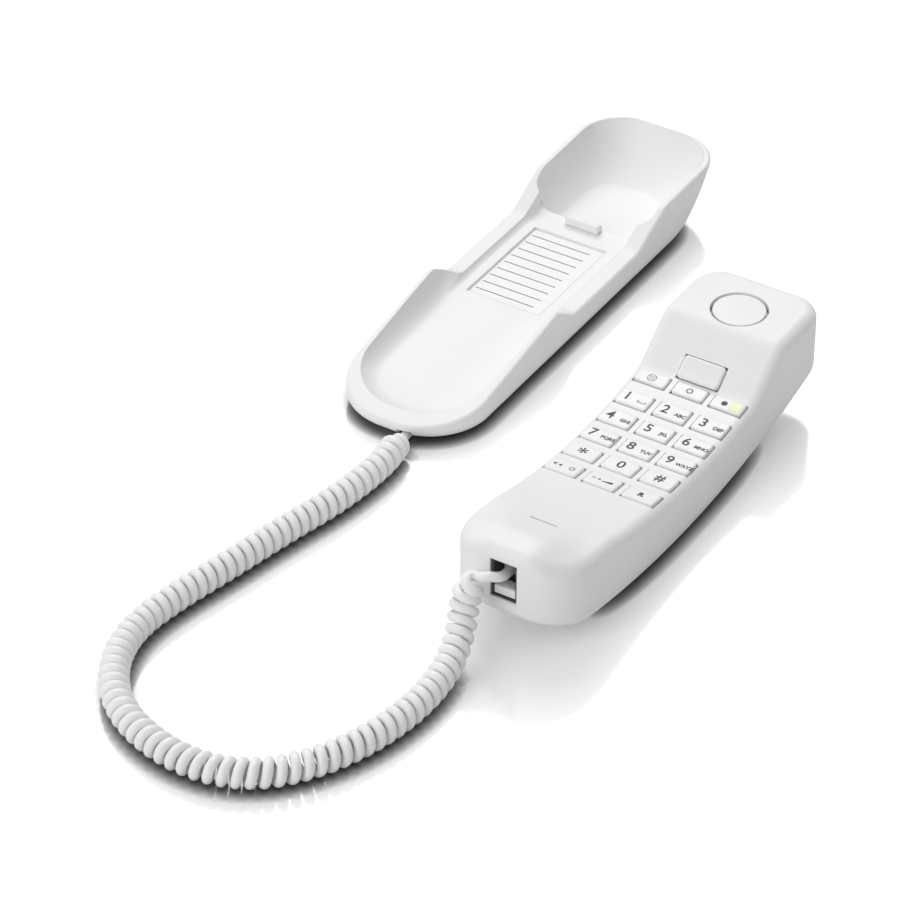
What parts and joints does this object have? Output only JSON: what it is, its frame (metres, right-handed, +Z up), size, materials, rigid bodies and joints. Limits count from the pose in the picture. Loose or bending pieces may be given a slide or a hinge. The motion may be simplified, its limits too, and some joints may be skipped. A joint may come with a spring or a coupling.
{
  "type": "corded landline phone",
  "caption": "Compact desk or wall phone: low cradle with a directory card, separate handset with its keypad in the grip, and a curly cord between them.",
  "frame": {"origin": "on the table below the middle of the cradle", "axes": "+Y to the ear end of the cradle, +X to the handset that lies beside it, +Z up"},
  "size_m": [0.1552, 0.4125, 0.0419],
  "materials": {
    "white_shell": "moulded, fine satin gloss",
    "white_key": "moulded, satin gloss, printed signs",
    "rubber_foot": "matt",
    "screw_steel": "zinc plated",
    "circuit_board": "satin",
    "brass_disc": "plain",
    "socket_plastic": "satin",
    "card_paper": "paper with printed lines",
    "clear_window": "clear film",
    "clear_plug": "clear moulded",
    "cord_jacket": "soft extruded plastic",
    "mat_rubber": "matt",
    "lamp": "clear moulded",
    "lens": "translucent",
    "black_plastic": "matt",
    "mic_can": "plain"
  },
  "bodies": {
    "base": {"cradle_shell": "white_shell", "base_plate": "white_shell", "base_feet": "rubber_foot", "base_screws": "screw_steel", "base_circuit_board": "circuit_board", "ringer": "brass_disc", "line_socket": "socket_plastic", "base_cord_jack": "socket_plastic", "directory_card": "card_paper", "card_window": "clear_window", "plug_base": "clear_plug", "curly_cord": "cord_jacket"},
    "handset": {"handset_front": "white_shell", "handset_back": "white_shell", "handset_screws": "screw_steel", "handset_circuit_board": "circuit_board", "keypad_mat": "mat_rubber", "message_lamp": "lamp", "hook_switch": "black_plastic", "earpiece_disc": "white_shell", "earpiece_receiver": "black_plastic", "microphone": "mic_can", "handset_jack": "socket_plastic", "plug_handset": "clear_plug"},
    "hook_tab": {"hook_tab": "white_shell"},
    "hook_button": {"hook_button": "white_shell"},
    "key_1": {"key_1": "white_key"},
    "key_2": {"key_2": "white_key"},
    "key_3": {"key_3": "white_key"},
    "key_4": {"key_4": "white_key"},
    "key_5": {"key_5": "white_key"},
    "key_6": {"key_6": "white_key"},
    "key_7": {"key_7": "white_key"},
    "key_8": {"key_8": "white_key"},
    "key_9": {"key_9": "white_key"},
    "key_star": {"key_star": "white_key"},
    "key_0": {"key_0": "white_key"},
    "key_hash": {"key_hash": "white_key"},
    "key_mute": {"key_mute": "white_key"},
    "key_store": {"key_store": "white_key"},
    "key_message": {"key_message": "white_key", "message_lens": "lens"},
    "key_redial": {"key_redial": "white_key"},
    "key_volume": {"key_volume": "white_key"},
    "key_recall": {"key_recall": "white_key"}
  },
  "joints": [
    {"name": "handset_lift", "type": "slide", "parent": "base", "child": "handset", "axis": [0, 0, 1], "range_m": [0, 0.12], "deforming": ["curly_cord"]},
    {"name": "hook_tab_pull", "type": "slide", "parent": "base", "child": "hook_tab", "axis": [0, 0, 1], "range_m": [0, 0.004]},
    {"name": "hook_button_press", "type": "slide", "parent": "handset", "child": "hook_button", "axis": [0, 0.6237, -0.7817], "range_m": [0, 0.0016], "stiffness_N_per_m": 400},
    {"name": "key_1_press", "type": "slide", "parent": "handset", "child": "key_1", "axis": [0, 0, -1], "range_m": [0, 0.001], "stiffness_N_per_m": 400},
    {"name": "key_2_press", "type": "slide", "parent": "handset", "child": "key_2", "axis": [0, 0, -1], "range_m": [0, 0.001], "stiffness_N_per_m": 400},
    {"name": "key_3_press", "type": "slide", "parent": "handset", "child": "key_3", "axis": [0, 0, -1], "range_m": [0, 0.001], "stiffness_N_per_m": 400},
    {"name": "key_4_press", "type": "slide", "parent": "handset", "child": "key_4", "axis": [0, 0, -1], "range_m": [0, 0.001], "stiffness_N_per_m": 400},
    {"name": "key_5_press", "type": "slide", "parent": "handset", "child": "key_5", "axis": [0, 0, -1], "range_m": [0, 0.001], "stiffness_N_per_m": 400},
    {"name": "key_6_press", "type": "slide", "parent": "handset", "child": "key_6", "axis": [0, 0, -1], "range_m": [0, 0.001], "stiffness_N_per_m": 400},
    {"name": "key_7_press", "type": "slide", "parent": "handset", "child": "key_7", "axis": [0, 0, -1], "range_m": [0, 0.001], "stiffness_N_per_m": 400},
    {"name": "key_8_press", "type": "slide", "parent": "handset", "child": "key_8", "axis": [0, 0, -1], "range_m": [0, 0.001], "stiffness_N_per_m": 400},
    {"name": "key_9_press", "type": "slide", "parent": "handset", "child": "key_9", "axis": [0, 0, -1], "range_m": [0, 0.001], "stiffness_N_per_m": 400},
    {"name": "key_star_press", "type": "slide", "parent": "handset", "child": "key_star", "axis": [0, 0, -1], "range_m": [0, 0.001], "stiffness_N_per_m": 400},
    {"name": "key_0_press", "type": "slide", "parent": "handset", "child": "key_0", "axis": [0, 0, -1], "range_m": [0, 0.001], "stiffness_N_per_m": 400},
    {"name": "key_hash_press", "type": "slide", "parent": "handset", "child": "key_hash", "axis": [0, 0, -1], "range_m": [0, 0.001], "stiffness_N_per_m": 400},
    {"name": "key_mute_press", "type": "slide", "parent": "handset", "child": "key_mute", "axis": [0, 0, -1], "range_m": [0, 0.001], "stiffness_N_per_m": 400},
    {"name": "key_store_press", "type": "slide", "parent": "handset", "child": "key_store", "axis": [0, 0, -1], "range_m": [0, 0.001], "stiffness_N_per_m": 400},
    {"name": "key_message_press", "type": "slide", "parent": "handset", "child": "key_message", "axis": [0, 0, -1], "range_m": [0, 0.001], "stiffness_N_per_m": 400},
    {"name": "key_redial_press", "type": "slide", "parent": "handset", "child": "key_redial", "axis": [0, 0, -1], "range_m": [0, 0.001], "stiffness_N_per_m": 400},
    {"name": "key_volume_press", "type": "slide", "parent": "handset", "child": "key_volume", "axis": [0, 0, -1], "range_m": [0, 0.001], "stiffness_N_per_m": 400},
    {"name": "key_recall_press", "type": "slide", "parent": "handset", "child": "key_recall", "axis": [0, 0, -1], "range_m": [0, 0.001], "stiffness_N_per_m": 400}
  ]
}
